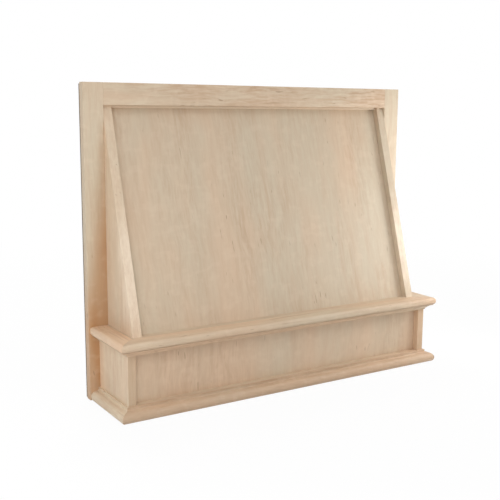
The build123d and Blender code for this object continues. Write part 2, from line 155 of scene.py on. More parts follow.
# Place, size in metres and power in watts of each soft lamp.
SOFTBOXES = {
    "upper_front_softbox": ((0.6, -1.6, 2.4), 1.0, 11.0),
    "low_front_softbox": ((0.6, -1.6, 0.5), 1.0, 2.2),
    "right_softbox": ((0.78, -0.28, 0.44), 0.3, 2.6),
    "left_front_softbox": ((-0.8, -0.5, 0.4), 0.3, 1.0),
    "upper_left_softbox": ((-0.9, -0.8, 0.9), 0.4, 1.3),
    "left_softbox": ((-1.3, -0.2, 0.9), 0.5, 2.7),
    "upper_softbox": ((0, -0.4, 2.6), 1.0, 3.0),
    "rear_softbox": ((0, 1.2, 2.2), 1.0, 38.0),
}


def display_colour(red, green, blue):
    """Scene-linear colour of a display colour given as 0 to 255: ((c + 0.055) / 1.055) ^ 2.4."""
    shares = (channel / 255 for channel in (red, green, blue))
    return tuple(((share + 0.055) / 1.055) ** 2.4 for share in shares)


# ------------------------------------------------------------------ settings
class HoodCoverWood(bpy.types.PropertyGroup):
    """Colours and grain of the unfinished wood."""

    cream: bpy.props.FloatVectorProperty(
        name="Cream", description="Cool, pale side of the maple", subtype="COLOR",
        min=0, max=1, default=display_colour(206, 191, 167),
    )
    blush: bpy.props.FloatVectorProperty(
        name="Blush", description="Pink, warm side of the maple", subtype="COLOR",
        min=0, max=1, default=display_colour(216, 188, 160),
    )
    # On the cheeks the sapwood streak also paints a highlight.
    sapwood: bpy.props.FloatVectorProperty(
        name="Sapwood", description="Pale streak along the edge of a board", subtype="COLOR",
        min=0, max=1, default=display_colour(238, 220, 197),
    )
    # Amber is the warm wood of some boards; on the left stile it also paints the shade cast by the
    # left cheek.
    amber: bpy.props.FloatVectorProperty(
        name="Amber", description="Darker, warmer wood of some boards", subtype="COLOR",
        min=0, max=1, default=display_colour(187, 142, 99),
    )
    latewood: bpy.props.FloatVectorProperty(
        name="Latewood", description="Thin dark lines of the growth rings", subtype="COLOR",
        min=0, max=1, default=display_colour(176, 143, 114),
    )
    fleck: bpy.props.FloatVectorProperty(
        name="Fleck", description="Short brown mineral flecks", subtype="COLOR",
        min=0, max=1, default=display_colour(142, 108, 82),
    )
    core: bpy.props.FloatVectorProperty(
        name="Core veneer", description="Darker inner plies of the plywood", subtype="COLOR",
        min=0, max=1, default=display_colour(178, 146, 114),
    )
    poplar: bpy.props.FloatVectorProperty(
        name="Poplar", description="Greenish wood of the hidden cleats", subtype="COLOR",
        min=0, max=1, default=display_colour(198, 187, 152),
    )
    beech: bpy.props.FloatVectorProperty(
        name="Beech", description="Wood of the dowels", subtype="COLOR",
        min=0, max=1, default=display_colour(204, 170, 138),
    )
    zinc: bpy.props.FloatVectorProperty(
        name="Zinc", description="Plating of the screws", subtype="COLOR",
        min=0, max=1, default=display_colour(196, 196, 190),
    )
    ring_pitch: bpy.props.FloatProperty(
        name="Ring pitch", description="Width of one growth ring", unit="LENGTH",
        min=0.001, max=0.05, default=0.009,
    )
    ply_pitch: bpy.props.FloatProperty(
        name="Ply pitch", description="Thickness of two plies of the plywood", unit="LENGTH",
        min=0.0005, max=0.01, default=0.0026,
    )
    waviness: bpy.props.FloatProperty(
        name="Waviness", description="How far the fibres wander sideways", unit="LENGTH",
        min=0, max=0.05, default=0.02,
    )
    streak_share: bpy.props.FloatProperty(
        name="Streak share", description="How strongly the fibres vary in tone",
        subtype="FACTOR", min=0, max=1, default=0.3,
    )
    band_share: bpy.props.FloatProperty(
        name="Band share", description="How strongly wide pink bands follow the fibres",
        subtype="FACTOR", min=0, max=1, default=0.3,
    )
    ring_share: bpy.props.FloatProperty(
        name="Ring share", description="How strongly the growth rings show",
        subtype="FACTOR", min=0, max=1, default=0.16,
    )
    fleck_share: bpy.props.FloatProperty(
        name="Fleck share", description="How strongly the flecks show", subtype="FACTOR",
        min=0, max=1, default=0.5,
    )
    sanded_roughness: bpy.props.FloatProperty(
        name="Roughness", description="Roughness of the sanded surface", subtype="FACTOR",
        min=0, max=1, default=0.54,
    )


class HoodCoverShapes(bpy.types.PropertyGroup):
    """Small shapes that the boards and mouldings are given."""

    board_ease: bpy.props.FloatProperty(
        name="Board ease", description="Radius of a board's sanded arris", unit="LENGTH",
        min=0.0002, max=0.004, default=0.0008,
    )
    mitre_ease: bpy.props.FloatProperty(
        name="Mitre ease", description="How far a moulding draws in at its ends",
        unit="LENGTH", min=0, max=0.002, default=0.0003,
    )
    canopy_lean: bpy.props.FloatProperty(
        name="Canopy lean", description="Angle of the slanted front from upright",
        unit="ROTATION", min=0, max=1, default=math.atan(0.29103),
    )
    # These bound the left stile's amber wood, which also paints the cheek's shade: darker towards
    # the cheek and the bottom.
    amber_shade_levels: bpy.props.FloatVectorProperty(
        name="Amber levels", description="Levels between which the stile's amber wood fades",
        size=2, min=0, max=1, subtype="NONE", unit="LENGTH", default=(0.36, 0.66),
    )
    amber_shade_foot: bpy.props.FloatVectorProperty(
        name="Amber foot", description="Levels between which the amber wood's foot grows full",
        size=2, min=-1, max=1, subtype="NONE", unit="LENGTH", default=(-0.2, -0.05),
    )
    amber_shade_slant: bpy.props.FloatProperty(
        name="Amber slant", description="Rise of the amber wood's limit across the stile",
        min=0, max=20, default=6.0,
    )
    # The streak's level and reach also place a painted highlight on the cheeks' front edges.
    sapwood_highlight_streak: bpy.props.FloatVectorProperty(
        name="Sapwood streak", description="Level and reach of the pale streak on the cheeks",
        size=2, unit="LENGTH", default=(0.3, 0.17),
    )
    cap_nose: bpy.props.FloatProperty(
        name="Cap nose", description="Radius of the mantel cap's front corners",
        unit="LENGTH", min=0.001, max=0.009, default=0.0075,
    )
    cap_back: bpy.props.FloatProperty(
        name="Cap back", description="How far the mantel cap reaches over the box",
        unit="LENGTH", min=0, max=0.05, default=0.019,
    )
    bed_foot: bpy.props.FloatVectorProperty(
        name="Bed foot", description="Reach and height of the bed mould's foot", size=2,
        unit="LENGTH", default=(0.0025, 0.002),
    )
    bed_lip: bpy.props.FloatProperty(
        name="Bed lip", description="Small square over the bed mould's cove",
        unit="LENGTH", min=0, max=0.01, default=0.0012,
    )
    bed_sag: bpy.props.FloatProperty(
        name="Bed cove", description="Hollow of the bed mould's cove", unit="LENGTH",
        min=0, max=0.01, default=0.0012,
    )
    base_ledge: bpy.props.FloatVectorProperty(
        name="Base ledge", description="Flat top of the base moulding and its step",
        size=2, unit="LENGTH", default=(0.005, 0.0055),
    )
    base_sag: bpy.props.FloatProperty(
        name="Base cove", description="Hollow of the base moulding's cove", unit="LENGTH",
        min=0, max=0.01, default=0.0006,
    )
    base_groove: bpy.props.FloatProperty(
        name="Base groove", description="Reach of the groove over the base nose",
        unit="LENGTH", min=0.005, max=0.023, default=0.0105,
    )
    base_nose: bpy.props.FloatVectorProperty(
        name="Base nose", description="Radius and level of the base moulding's nose",
        size=2, unit="LENGTH", default=(0.0127, 0.0088),
    )


class HoodCoverStudio(bpy.types.PropertyGroup):
    """Camera and lamps."""

    camera_place: bpy.props.FloatVectorProperty(
        name="Camera place", description="Where the camera stands", subtype="XYZ",
        unit="LENGTH", default=(-1.1271, -1.6753, 0.6669),
    )
    heading: bpy.props.FloatProperty(
        name="Heading", description="Turn of the view about the vertical", unit="ROTATION",
        default=math.radians(-32.243),
    )
    pitch: bpy.props.FloatProperty(
        name="Pitch", description="How far the camera looks down", unit="ROTATION",
        default=math.radians(9.577),
    )
    roll: bpy.props.FloatProperty(
        name="Roll", description="Turn of the camera about its own view", unit="ROTATION",
        default=math.radians(0.398),
    )
    focal_length: bpy.props.FloatProperty(
        name="Focal length", description="Focal length in millimetres on a 36 mm sensor",
        min=10, max=300, default=59.704,
    )
    ambient: bpy.props.FloatProperty(
        name="Ambient", description="Light from the pale room all round", min=0, max=1,
        default=0.34,
    )
    floor_tone: bpy.props.FloatProperty(
        name="Floor tone", description="How pale the floor is for the light it returns",
        subtype="FACTOR", min=0, max=1, default=0.8,
    )
    shadow_share: bpy.props.FloatProperty(
        name="Shadow share", description="How much of the lamps' light the floor shows",
        subtype="FACTOR", min=0, max=1, default=0.05,
    )


# ------------------------------------------------------------------ shader building
class Shade:
    """A socket of a finish. Arithmetic on it adds Math nodes to the same finish."""

    def __init__(self, finish, socket):
        self.finish = finish
        self.socket = socket

    def math(self, operation, *values):
        return self.finish.node("ShaderNodeMath", {"operation": operation}, values)

    def __add__(self, other):
        return self.math("ADD", self, other)

    def __radd__(self, other):
        return self.math("ADD", other, self)

    def __sub__(self, other):
        return self.math("SUBTRACT", self, other)

    def __rsub__(self, other):
        return self.math("SUBTRACT", other, self)

    def __mul__(self, other):
        return self.math("MULTIPLY", self, other)

    def __rmul__(self, other):
        return self.math("MULTIPLY", other, self)

    def __truediv__(self, other):
        return self.math("DIVIDE", self, other)

    def __rtruediv__(self, other):
        return self.math("DIVIDE", other, self)

    def __pow__(self, other):
        return self.math("POWER", self, other)

    def __abs__(self):
        return self.math("ABSOLUTE", self)

    def sine(self):
        """Sine of the value, in radians."""
        return self.math("SINE", self)

    def highest(self, other):
        """Larger of two values."""
        return self.math("MAXIMUM", self, other)


class Finish:
    """A node tree under construction, of a material or of the world."""

    def __init__(self, owner):
        owner.use_nodes = True
        self.owner = owner
        self.tree = owner.node_tree
        self.tree.nodes.clear()

    def node(self, kind, settings=None, inputs=(), output=0):
        """Add a node: its settings first, then the values or links of its sockets."""
        made = self.tree.nodes.new(kind)
        for name, value in (settings or {}).items():
            setattr(made, name, value)
        pairs = inputs.items() if isinstance(inputs, dict) else enumerate(inputs)
        for key, value in pairs:
            if isinstance(value, Shade):
                self.tree.links.new(value.socket, made.inputs[key])
            else:
                made.inputs[key].default_value = value
        return Shade(self, made.outputs[output]) if made.outputs else None

    def noise(self, point, detail, roughness=0.5):
        """Smooth noise about 0.5 at a point."""
        inputs = {"Vector": point, "Scale": 1.0, "Detail": detail, "Roughness": roughness}
        return self.node("ShaderNodeTexNoise", None, inputs)

    def rise(self, value, low, high):
        """Smooth step: 0 below low, 1 above high."""
        inputs = {"Value": value, "From Min": low, "From Max": high}
        return self.node("ShaderNodeMapRange", {"interpolation_type": "SMOOTHSTEP"}, inputs)

    def mix(self, share, first, second):
        """Colour between two colours."""
        inputs = {0: share, 6: first, 7: second}
        return self.node("ShaderNodeMix", {"data_type": "RGBA"}, inputs, 2)

    def dot(self, vector, direction):
        """Component of a vector along a direction."""
        settings = {"operation": "DOT_PRODUCT"}
        return self.node("ShaderNodeVectorMath", settings, (vector, direction), "Value")

    def scaled(self, vector, factor):
        """A vector times a factor."""
        return self.node("ShaderNodeVectorMath", {"operation": "SCALE"}, {0: vector, 3: factor})

    def point(self, x, y, z):
        """Vector of three values."""
        return self.node("ShaderNodeCombineXYZ", None, (x, y, z))

    def position(self):
        """Place on the piece, in metres."""
        return self.node("ShaderNodeTexCoord", output="Object")

    def surface(self, colour, roughness, height, depth, **constants):
        """Principled surface with a bump of the given depth, as the output."""
        normal = self.node("ShaderNodeBump", None, {"Distance": depth, "Height": height})
        inputs = {"Base Color": colour, "Roughness": roughness, "Normal": normal}
        inputs.update(constants)
        self.output("ShaderNodeOutputMaterial", self.node("ShaderNodeBsdfPrincipled", None, inputs))

    def output(self, kind, shader):
        """Link a shader to the output node."""
        self.node(kind, None, {"Surface": shader})


def tinted(colour, factor=1.0):
    """A colour times a factor, with full opacity."""
    return (*(min(1.0, channel * factor) for channel in colour), 1.0)


class Grain:
    """Coordinates in a board: along the fibres, through its thickness and sideways.

    Each is the dot product of the Object position with a unit vector, plus an offset of the
    board's own, so that no two boards show the same figure.
    """

    def __init__(self, finish, along, face, seed):
        self.finish = finish
        along = Vector(along).normalized()
        face = Vector(face).normalized()
        position = finish.position()
        self.depth = finish.dot(position, face)
        self.width = finish.dot(position, along.cross(face))
        self.along = finish.dot(position, along) + seed * 1.37 % 7
        self.through = self.depth + seed * 0.83 % 3
        self.side = self.width + seed * 0.59 % 5
        waves = self.figure("waves") - 0.5
        self.side = self.side + waves * bpy.context.scene.hood_cover_wood.waviness
        normal = finish.node("ShaderNodeTexCoord", output="Normal")
        self.end = finish.rise(abs(finish.dot(normal, along)), 0.8, 0.97)
        self.edge = finish.rise(abs(finish.dot(normal, face)), 0.35, 0.2)

    def figure(self, name):
        """Noise of a named figure, stretched along the fibres."""
        across, along, detail, roughness = FIGURES[name]
        point = self.finish.point(self.side * across, self.through * across, self.along * along)
        return self.finish.noise(point, detail, roughness)

    def mask(self, name, shift=None):
        """Share of a figure: 0 below its first level and 1 above its second, after a shift."""
        value = self.figure(name)
        if shift is not None:
            value = value + shift
        return self.finish.rise(value, *LEVELS[name])


def sapwood_and_highlight_share(finish, grain, streak):
    """Share of pale sapwood and painted highlight: highest at one level of a slanted edge,
    fading into the board.

    With the edge at width e + s along, the share is (1 - rise(width - edge)) times
    (1 - rise(|along - middle|)), both blurred by noise.
    """
    edge, slant, middle, reach = streak
    along = finish.dot(finish.position(), UPWARD)
    blur = grain.figure("sapwood_blur") - 0.5
    inwards = grain.width - along * slant - edge + blur * 0.06
    away = abs(along - middle) + blur * 0.1
    return (1 - finish.rise(inwards, 0.004, 0.05)) * (1 - finish.rise(away, reach * 0.3, reach))


def amber_and_cheek_shade_share(finish, grain, along, fade):
    """Share of amber wood and painted shade of the cheek left in a stile, whose limits slant
    away from its inner edge.

    It fades out between two levels of along + slant (width - inner), and in, from a part of
    it, between two levels of along - slant (width - inner).
    """
    inner, slant, levels, foot = fade
    height = finish.dot(finish.position(), along)
    outward = (grain.width - inner) * slant
    below = 1 - finish.rise(height + outward, *levels)
    return below * (0.4 + finish.rise(height - outward, *foot) * 0.6)


def maple(
    node, along, face, veneer=False, plies=False, marks=1.0, fade=None, sapwood=None, rim=None
):
    """Sanded raw maple: tone patches, growth rings, fibres, flecks and darker end grain.

    A board's ring count is sqrt((side - s)^2 + (depth - t)^2) / pitch about a heart (s, t)
    that wanders along the board. Veneer counts the contour lines of a stretched noise
    instead, as a peeled sheet shows. The rings are where the sine of that count is high.
    Marks scales the streaks and flecks of a livelier board. Fade bounds its amber wood, which on
    the left stile also paints the cheek's shade. Sapwood gives a pale streak that also paints a
    highlight, and a rim is the share and lightness of core wood on its narrow faces, which on
    the rear uprights also paints shade.
    """
    look = bpy.context.scene.hood_cover_wood
    seed = seed_of(node)
    tone, light, warmth = TONES[node]
    finish = Finish(bpy.data.materials.new(node))
    grain = Grain(finish, along, face, seed)
    latewood = tinted(look.latewood, light)

    blush = grain.mask("patches", tone)
    colour = finish.mix(blush, tinted(look.cream, light), tinted(look.blush, light))
    band = grain.mask("bands") * look.band_share
    colour = finish.mix(band, colour, tinted(look.blush, light * 0.88))
    # Amber wood; on the left stile its fade also paints the shade cast by the left cheek.
    if warmth:
        share = (0.6 + blush * 0.8) * warmth
        if fade:
            share = share * amber_and_cheek_shade_share(finish, grain, along, fade)
        colour = finish.mix(share, colour, tinted(look.amber, light))

    if veneer:
        phase = grain.figure("sheet") * 11 + grain.figure("sheet_ripple") * 0.9
    else:
        wander = finish.noise(finish.point(0.0, 0.0, grain.along * 1.6), detail=1) - 0.5
        side = grain.width + wander * 0.1 + seed * 0.37 % 0.1 - 0.05
        depth = grain.depth + wander * 0.04 + 0.05 + seed * 0.23 % 0.06
        radius = (side * side + depth * depth) ** 0.5
        phase = radius / look.ring_pitch + grain.figure("ring_ripple")
    ring = finish.rise((phase * math.tau).sine(), 0.3, 1.0)
    strength = grain.mask("ring_strength")
    colour = finish.mix(ring * strength * look.ring_share, colour, latewood)

    fibre = grain.figure("fibres")
    shade = finish.rise(fibre * 0.5 + grain.figure("streaks") * 0.5, 0.36, 0.66)
    darker = tinted(look.latewood, light * 1.1)
    colour = finish.mix(shade * (0.5 + strength) * (look.streak_share * marks), colour, darker)
    colour = finish.mix(grain.mask("quilt") * 0.1, colour, tinted(look.sapwood, light))

    crowd = grain.figure("crowds") - 0.5
    fleck = finish.rise(grain.figure("flecks") + crowd * 0.3, 0.76 - marks * 0.02, 0.81)
    colour = finish.mix(fleck * look.fleck_share, colour, tinted(look.fleck, light))
    if marks > 1:
        mark = grain.mask("marks", crowd * 0.35) * 0.3 * marks
        colour = finish.mix(mark, colour, tinted(look.latewood, light * 0.9))
    # Pale sapwood streak on the cheeks' front edges, which also paints a highlight there.
    if sapwood:
        share = sapwood_and_highlight_share(finish, grain, sapwood)
        colour = finish.mix(share * (0.75 - shade * 0.35), colour, tinted(look.sapwood))

    if plies:
        ply = finish.rise((grain.depth * (math.tau / look.ply_pitch)).sine(), -0.2, 0.2)
        colour = finish.mix(grain.edge * ply * 0.75, colour, tinted(look.core, light))
    # On the rear uprights this dark rim is core plies and painted shade of the edge set in behind
    # the stiles.
    if rim:
        share, core_light = rim
        colour = finish.mix(grain.edge * share, colour, tinted(look.core, core_light))
    dark_end = grain.end * (0.25 + grain.figure("pores") * 0.3)
    colour = finish.mix(dark_end, colour, tinted(look.latewood, light * 0.85))
    roughness = look.sanded_roughness + (shade - 0.5) * 0.12 + grain.end * 0.1
    height = fibre * 0.7 + ring * 0.2 - fleck * 0.4
    finish.surface(colour, roughness, height, 0.0002, **{"Specular IOR Level": 0.35})
    return finish.owner


def plain_wood(name, colour_name, along, face, seed):
    """Poplar or beech: patches and streaks of one colour, and darker end grain."""
    look = bpy.context.scene.hood_cover_wood
    base = getattr(look, colour_name)
    finish = Finish(bpy.data.materials.new(name))
    grain = Grain(finish, along, face, seed)
    patches = grain.mask("plain_patches")
    colour = finish.mix(patches, tinted(base, 0.9), tinted(base, 1.08))
    fibre = grain.figure("plain_fibres")
    streak = grain.mask("plain_streaks") * 0.4 + fibre * 0.25
    colour = finish.mix(streak, colour, tinted(base, 0.72))
    colour = finish.mix(grain.end * 0.4, colour, tinted(base, 0.6))
    finish.surface(
        colour, 0.62 + fibre * 0.16, fibre, 0.00025, **{"Specular IOR Level": 0.3}
    )
    return finish.owner


def zinc_steel(name):
    """Zinc-plated steel: cloudy plating over fine turning marks."""
    look = bpy.context.scene.hood_cover_wood
    finish = Finish(bpy.data.materials.new(name))
    position = finish.position()
    cloud = finish.noise(finish.scaled(position, 420.0), detail=2)
    marks = finish.noise(finish.scaled(position, 2600.0), detail=1)
    colour = finish.mix(cloud, tinted(look.zinc, 0.82), tinted(look.zinc, 1.08))
    finish.surface(colour, 0.26 + marks * 0.24, marks, 0.00003, Metallic=1.0)
    return finish.owner


# ------------------------------------------------------------------ surfaces
def loop_quads(rows, around):
    """Faces of a grid whose rows are loops of points.

    Quad (i, j) joins the points (i, j), (i, j + 1), (i + 1, j + 1) and (i + 1, j), where j
    wraps round the loop.
    """
    start = np.arange(rows - 1)[:, None] * around
    here = np.arange(around)[None, :]
    after = (here + 1) % around
    corners = (start + here, start + after, start + around + after, start + around + here)
    return np.stack(corners, axis=-1).reshape(-1, 4)


def closed_piece(name, grid):
    """A closed mesh from a grid of points: each row is a loop, and flat faces close the ends.

    The volume is a sixth of the sum of p . (q x r) over the faces, and a negative one turns
    every face.
    """
    rows, around = grid.shape[:2]
    points = grid.reshape(-1, 3)
    quads = loop_quads(rows, around)
    near = np.arange(around)[::-1]
    far = (rows - 1) * around + np.arange(around)
    p, q, r, s = (points[quads[:, k]] - points.mean(axis=0) for k in range(4))
    volume = np.einsum("ij,ij->", p, np.cross(q, r) + np.cross(r, s))
    if volume < 0:
        quads, near, far = quads[:, ::-1], near[::-1], far[::-1]
    mesh = bpy.data.meshes.new(name)
    mesh.from_pydata(points.tolist(), [], quads.tolist() + [near.tolist(), far.tolist()])
    mesh.shade_smooth()
    mesh.set_sharp_from_angle(angle=SHARP_ANGLE)
    piece = bpy.data.objects.new(name, mesh)
    bpy.context.scene.collection.objects.link(piece)
    return piece


def arc(centre, radius, start, end, count):
    """Points on an arc: centre + radius (cos a, sin a), with a from start to end in degrees."""
    angles = np.radians(np.linspace(start, end, count))
    return np.asarray(centre) + radius * np.stack([np.cos(angles), np.sin(angles)], axis=1)


def cove(start, end, sag, count):
    """Points from start to end, bowed to the left of the way by sag times 4 s (1 - s)."""
    s = np.linspace(0, 1, count)[:, None]
    start, end = np.asarray(start), np.asarray(end)
    run = end - start
    left = np.array([-run[1], run[0]]) / np.hypot(*run)
    return start + run * s + left * sag * 4 * s * (1 - s)


def drawn_in(profile, ease):
    """The closed profile moved inwards by ease, along the normal of each point's neighbours."""
    run = np.roll(profile, -1, axis=0) - np.roll(profile, 1, axis=0)
    outwards = np.stack([run[:, 1], -run[:, 0]], axis=1) / np.linalg.norm(run, axis=1)[:, None]
    return profile - outwards * ease


def eased_board(name, corners, axis, ease):
    """A board with rounded arrises: a rounded rectangle carried along an axis.

    At angle a of the end's rounding the loop has drawn in by r (1 - sin a) and lies
    r (1 - cos a) from the end; round the loop, a corner is its centre + (r - inset)
    (cos b, sin b).
    """
    low, high = (np.array(corner) for corner in corners)
    across = [i for i in range(3) if i != axis]
    half = (high - low)[across] / 2
    middle = (high + low)[across] / 2
    length = (high - low)[axis]
    turn = np.radians(np.linspace(6, 90, ROUNDING_POINTS))
    out, inset = ease * (1 - np.cos(turn)), ease * (1 - np.sin(turn))
    body = np.linspace(ease, length - ease, max(3, int(length / BOARD_STEP)))[1:-1]
    places = np.concatenate([out, body, length - out[::-1]])
    insets = np.concatenate([inset, body * 0, inset[::-1]])[:, None]
    quarters = [np.linspace(k, k + 1, ROUNDING_POINTS) for k in range(4)]
    bend = np.concatenate(quarters) * math.pi / 2
    sign_u = np.repeat([1, -1, -1, 1], ROUNDING_POINTS)
    sign_v = np.repeat([1, 1, -1, -1], ROUNDING_POINTS)
    grid = np.zeros((len(places), len(bend), 3))
    grid[:, :, across[0]] = middle[0] + sign_u * (half[0] - ease) + (ease - insets) * np.cos(bend)
    grid[:, :, across[1]] = middle[1] + sign_v * (half[1] - ease) + (ease - insets) * np.sin(bend)
    grid[:, :, axis] = low[axis] + places[:, None]
    return closed_piece(name, grid)


def mantel_profile(back, reach, thickness, nose):
    """Mantel cap: a flat board whose front corners are arcs of the nose radius."""
    lower = arc((reach - nose, nose), nose, -90, 0, ARC_POINTS)
    upper = arc((reach - nose, thickness - nose), nose, 0, 90, ARC_POINTS)
    return np.concatenate([[(-back, 0)], lower, upper, [(-back, thickness)]])


def bed_profile(reach, height, foot, lip, sag):
    """Bed mould: an upright foot, a cove out to a small square lip, and a flat top."""
    hollow = cove((foot[0], foot[1]), (reach - lip, height - lip), sag, ARC_POINTS)
    head = [(reach, height - lip), (reach, height), (0, height)]
    return np.concatenate([[(0, 0), (foot[0], 0)], hollow, head])


def base_profile(reach, height, ledge, sag, groove, nose):
    """Base moulding: a large round nose, a groove, a cove, a step and a flat top.

    The nose is an arc of radius r about (reach - r, level); the groove lies where its reach
    meets that arc, and the foot where the arc meets the floor.
    """
    radius, level = nose
    centre = (reach - radius, level)
    foot_angle = math.degrees(math.asin(-level / radius))
    groove_angle = math.degrees(math.acos((groove - centre[0]) / radius))
    round_nose = arc(centre, radius, foot_angle, groove_angle, NOSE_POINTS)
    hollow = cove(round_nose[-1], (ledge[0], height - ledge[1]), sag, 11)[1:]
    return np.concatenate([[(0, 0)], round_nose, hollow, [(ledge[0], height), (0, height)]])


def moulding_run(name, profile, level, side, box, frame_front, ease):
    """A moulding round the box: its profile (o, h) carried from mitre to mitre or to the frame.

    The front run is (s (edge + o), front - o, level + h) with s from -1 to 1, so its ends
    lie on the mitres. A return is (side (edge + o), frame + s (front - o - frame), level + h)
    with s from 0 at the frame to 1 at the mitre. At each end the profile draws in by ease.
    """
    edge, front = box
    length = 2 * edge if side == 0 else frame_front - front
    body = np.linspace(0, 1, RUN_POINTS)[1:-1]
    step = ease / length
    s = np.concatenate([[0, step * 0.4, step], body, [1 - step, 1 - step * 0.4, 1]])
    inset = np.concatenate([[1, 0.25, 0], body * 0, [0, 0.25, 1]]) * ease
    rings = np.stack([drawn_in(profile, e) for e in inset])
    out, height = rings[:, :, 0], rings[:, :, 1]
    s = s[:, None]
    if side == 0:
        x, y = (2 * s - 1) * (edge + out), front - out
    else:
        x, y = side * (edge + out), frame_front + s * (front - out - frame_front)
    return closed_piece(name, np.stack([x, y + 0 * x, level + height], axis=2))


# ------------------------------------------------------------------ dressing
def seed_of(node):
    """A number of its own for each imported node."""
    return 1 + sorted(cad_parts).index(node)


def dress(node, material):
    """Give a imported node's material slots a finish."""
    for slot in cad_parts[node].material_slots:
        slot.material = material


def stand_in(piece, node, material):
    """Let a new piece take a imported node's place, body, slot and finish."""
    piece.data.materials.append(material)
    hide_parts(node)
    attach(piece, "root")


def board_for(node, axis, material):
    """Replace an imported board by an eased one of the same size."""
    shapes = bpy.context.scene.hood_cover_shapes
    piece = eased_board(node + "_board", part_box(node), axis, shapes.board_ease)
    stand_in(piece, node, material)


def box_corner():
    """Outer side of the box, its front, and the front of the face frame."""
    low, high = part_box("left_box_side")
    return (-low.x, low.y), high.y


def run_mouldings(stem, profile, level):
    """Front and two returns of one moulding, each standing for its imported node."""
    ease = bpy.context.scene.hood_cover_shapes.mitre_ease
    box, frame_front = box_corner()
    for side, place in ((0, "front"), (-1, "left"), (1, "right")):
        node = f"{stem}_{place}"
        run = moulding_run(node + "_run", profile, level, side, box, frame_front, ease)
        along = BACKWARD if side else ACROSS
        stand_in(run, node, maple(node, along, UPWARD, marks=1.4))


class HOODCOVER_OT_face_frame(bpy.types.Operator):
    """Eased stiles and top rail in solid maple"""

    bl_idname = "hood_cover.face_frame"
    bl_label = "Face Frame"

    def execute(self, context):
        shapes = context.scene.hood_cover_shapes
        inner = abs(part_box("left_stile")[1].x)
        # The left stile's amber wood also paints the left cheek's shade, darker towards the cheek
        # and the bottom.
        fade = (inner, shapes.amber_shade_slant, shapes.amber_shade_levels, shapes.amber_shade_foot)
        for node in ("left_stile", "right_stile"):
            board_for(node, 2, maple(node, UPWARD, BACKWARD, fade=fade))
        board_for("top_rail", 0, maple("top_rail", ACROSS, BACKWARD, marks=1.8))
        return {"FINISHED"}


class HOODCOVER_OT_canopy(bpy.types.Operator):
    """Slanted plywood front, its two cheeks and the stop under the top rail"""

    bl_idname = "hood_cover.canopy"
    bl_label = "Canopy"

    def execute(self, context):
        shapes = context.scene.hood_cover_shapes
        slope = Vector((0, math.sin(shapes.canopy_lean), math.cos(shapes.canopy_lean)))
        face = Vector((0, -slope.z, slope.y))
        dress("canopy_panel", maple("canopy_panel", slope, face, veneer=True, plies=True))
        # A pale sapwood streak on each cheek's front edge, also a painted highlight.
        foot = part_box("left_cheek")[0]
        edge = foot.y - math.tan(shapes.canopy_lean) * foot.z
        streak = (edge, math.tan(shapes.canopy_lean), *shapes.sapwood_highlight_streak)
        for node in ("left_cheek", "right_cheek"):
            dress(node, maple(node, UPWARD, ACROSS, sapwood=streak))
        board_for("top_stop", 0, maple("top_stop", ACROSS, BACKWARD))
        return {"FINISHED"}


class HOODCOVER_OT_mantel_cap(bpy.types.Operator):
    """Bullnosed mantel cap, mitred at the corners"""

    bl_idname = "hood_cover.mantel_cap"
    bl_label = "Mantel Cap"

    def execute(self, context):
        shapes = context.scene.hood_cover_shapes
        low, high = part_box("mantel_cap_front")
        reach = box_corner()[0][1] - low.y
        profile = mantel_profile(shapes.cap_back, reach, high.z - low.z, shapes.cap_nose)
        run_mouldings("mantel_cap", profile, low.z)
        return {"FINISHED"}


class HOODCOVER_OT_bed_mould(bpy.types.Operator):
    """Small coved moulding under the mantel cap"""

    bl_idname = "hood_cover.bed_mould"
    bl_label = "Bed Mould"

    def execute(self, context):
        shapes = context.scene.hood_cover_shapes
        low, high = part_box("bed_mould_front")
        reach = box_corner()[0][1] - low.y
        profile = bed_profile(
            reach, high.z - low.z, shapes.bed_foot, shapes.bed_lip, shapes.bed_sag
        )
        run_mouldings("bed_mould", profile, low.z)
        return {"FINISHED"}


class HOODCOVER_OT_base_mould(bpy.types.Operator):
    """Base moulding with its large round nose"""

    bl_idname = "hood_cover.base_mould"
    bl_label = "Base Moulding"

    def execute(self, context):
        shapes = context.scene.hood_cover_shapes
        low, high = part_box("base_mould_front")
        reach = box_corner()[0][1] - low.y
        profile = base_profile(
            reach, high.z - low.z, shapes.base_ledge, shapes.base_sag, shapes.base_groove,
            shapes.base_nose,
        )
        run_mouldings("base_mould", profile, low.z)
        return {"FINISHED"}


class HOODCOVER_OT_box(bpy.types.Operator):
    """Box under the canopy: two sides, a plywood front and the rails behind the mouldings"""

    bl_idname = "hood_cover.box"
    bl_label = "Box"

    def execute(self, context):
        for node in ("left_box_side", "right_box_side"):
            dress(node, maple(node, UPWARD, ACROSS, rim=BOX_SIDE_RIM))
        for node in ("box_top_rail", "box_bottom_rail"):
            dress(node, maple(node, ACROSS, BACKWARD))
        dress("box_panel", maple("box_panel", UPWARD, BACKWARD, veneer=True, plies=True))
        return {"FINISHED"}


class HOODCOVER_OT_rear_layer(bpy.types.Operator):
    """Plywood layer behind the face frame and the poplar hanging rails"""

    bl_idname = "hood_cover.rear_layer"
    bl_label = "Rear Layer"

    def execute(self, context):
        # Their dark narrow faces are core plies and painted shade.
        for node in ("left_rear_upright", "right_rear_upright"):
            dress(node, maple(node, UPWARD, BACKWARD, veneer=True, rim=REAR_UPRIGHT_RIM_AND_SHADE))
        top_rail = maple("rear_top_rail", ACROSS, BACKWARD, veneer=True, plies=True)
        dress("rear_top_rail", top_rail)
        for node in ("lower_hanging_rail", "upper_hanging_rail"):
            dress(node, plain_wood(node, "poplar", ACROSS, BACKWARD, seed_of(node)))
        return {"FINISHED"}


